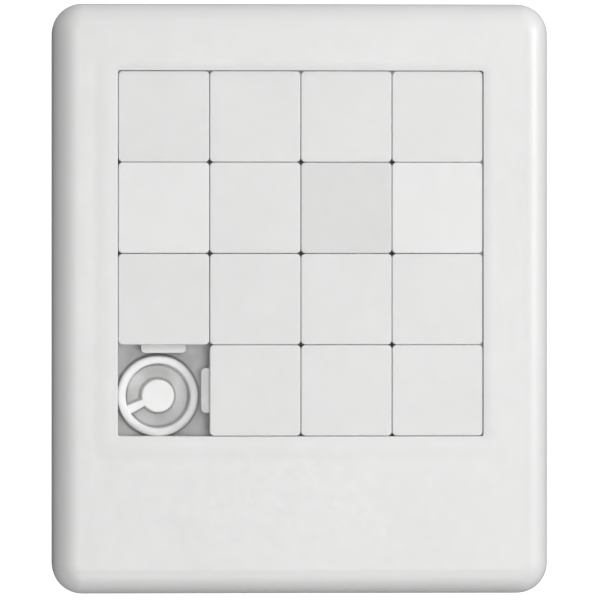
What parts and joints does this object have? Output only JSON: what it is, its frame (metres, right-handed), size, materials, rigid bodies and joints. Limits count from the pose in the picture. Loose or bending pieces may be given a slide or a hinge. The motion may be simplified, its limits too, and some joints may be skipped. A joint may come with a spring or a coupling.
{
  "type": "sliding tile puzzle",
  "caption": "White plastic sliding tile puzzle: a round-edged rectangular case with a square window, blank interlocking square tiles and an empty cell over a moulded boss.",
  "frame": {"origin": "middle of the case's back face, which the puzzle lies on", "axes": "+Z out of the tile face, +Y along the case towards its narrow end margin (away from the wide blank margin), +X to the right seen from the front; the empty cell is at the low X, low Y corner of the window"},
  "size_m": [0.07, 0.0832, 0.008],
  "materials": {
    "front_cover_plastic": "satin white moulded polystyrene",
    "back_cover_plastic": "satin white moulded polystyrene",
    "tile_plastic": "fine matt white moulded polystyrene, a little different from tile to tile"
  },
  "bodies": {
    "case": {"front_cover": "front_cover_plastic", "back_cover": "back_cover_plastic"},
    "tile_row1_col1": {"tile_row1_col1": "tile_plastic"},
    "tile_row1_col2": {"tile_row1_col2": "tile_plastic"},
    "tile_row1_col3": {"tile_row1_col3": "tile_plastic"},
    "tile_row1_col4": {"tile_row1_col4": "tile_plastic"},
    "tile_row2_col1": {"tile_row2_col1": "tile_plastic"},
    "tile_row2_col2": {"tile_row2_col2": "tile_plastic"},
    "tile_row2_col3": {"tile_row2_col3": "tile_plastic"},
    "tile_row2_col4": {"tile_row2_col4": "tile_plastic"},
    "tile_row3_col1": {"tile_row3_col1": "tile_plastic"},
    "tile_row3_col2": {"tile_row3_col2": "tile_plastic"},
    "tile_row3_col3": {"tile_row3_col3": "tile_plastic"},
    "tile_row3_col4": {"tile_row3_col4": "tile_plastic"},
    "tile_row4_col2": {"tile_row4_col2": "tile_plastic"},
    "tile_row4_col3": {"tile_row4_col3": "tile_plastic"},
    "tile_row4_col4": {"tile_row4_col4": "tile_plastic"}
  },
  "joints": [
    {"name": "tile_row1_col1_down", "type": "slide", "parent": "case", "child": "tile_row1_col1", "axis": [0, -1, 0], "range_m": [0, 0.01285]},
    {"name": "tile_row1_col2_play", "type": "slide", "parent": "case", "child": "tile_row1_col2", "axis": [1, 0, 0], "range_m": [-0.00005, 0.00005]},
    {"name": "tile_row1_col3_play", "type": "slide", "parent": "case", "child": "tile_row1_col3", "axis": [1, 0, 0], "range_m": [-0.00005, 0.00005]},
    {"name": "tile_row1_col4_play", "type": "slide", "parent": "case", "child": "tile_row1_col4", "axis": [1, 0, 0], "range_m": [-0.00005, 0.00005]},
    {"name": "tile_row2_col1_down", "type": "slide", "parent": "case", "child": "tile_row2_col1", "axis": [0, -1, 0], "range_m": [0, 0.01285]},
    {"name": "tile_row2_col2_play", "type": "slide", "parent": "case", "child": "tile_row2_col2", "axis": [1, 0, 0], "range_m": [-0.00005, 0.00005]},
    {"name": "tile_row2_col3_play", "type": "slide", "parent": "case", "child": "tile_row2_col3", "axis": [1, 0, 0], "range_m": [-0.00005, 0.00005]},
    {"name": "tile_row2_col4_play", "type": "slide", "parent": "case", "child": "tile_row2_col4", "axis": [1, 0, 0], "range_m": [-0.00005, 0.00005]},
    {"name": "tile_row3_col1_down", "type": "slide", "parent": "case", "child": "tile_row3_col1", "axis": [0, -1, 0], "range_m": [0, 0.01285]},
    {"name": "tile_row3_col2_play", "type": "slide", "parent": "case", "child": "tile_row3_col2", "axis": [1, 0, 0], "range_m": [-0.00005, 0.00005]},
    {"name": "tile_row3_col3_play", "type": "slide", "parent": "case", "child": "tile_row3_col3", "axis": [1, 0, 0], "range_m": [-0.00005, 0.00005]},
    {"name": "tile_row3_col4_play", "type": "slide", "parent": "case", "child": "tile_row3_col4", "axis": [1, 0, 0], "range_m": [-0.00005, 0.00005]},
    {"name": "tile_row4_col2_across", "type": "slide", "parent": "case", "child": "tile_row4_col2", "axis": [1, 0, 0], "range_m": [-0.01285, 0]},
    {"name": "tile_row4_col3_across", "type": "slide", "parent": "case", "child": "tile_row4_col3", "axis": [1, 0, 0], "range_m": [-0.01285, 0]},
    {"name": "tile_row4_col4_across", "type": "slide", "parent": "case", "child": "tile_row4_col4", "axis": [1, 0, 0], "range_m": [-0.01285, 0]}
  ],
  "couplings": [
    {"joint": "tile_row2_col1_down", "follows": "tile_row1_col1_down", "ratio": 1},
    {"joint": "tile_row3_col1_down", "follows": "tile_row1_col1_down", "ratio": 1},
    {"joint": "tile_row4_col2_across", "follows": "tile_row4_col4_across", "ratio": 1},
    {"joint": "tile_row4_col3_across", "follows": "tile_row4_col4_across", "ratio": 1}
  ]
}
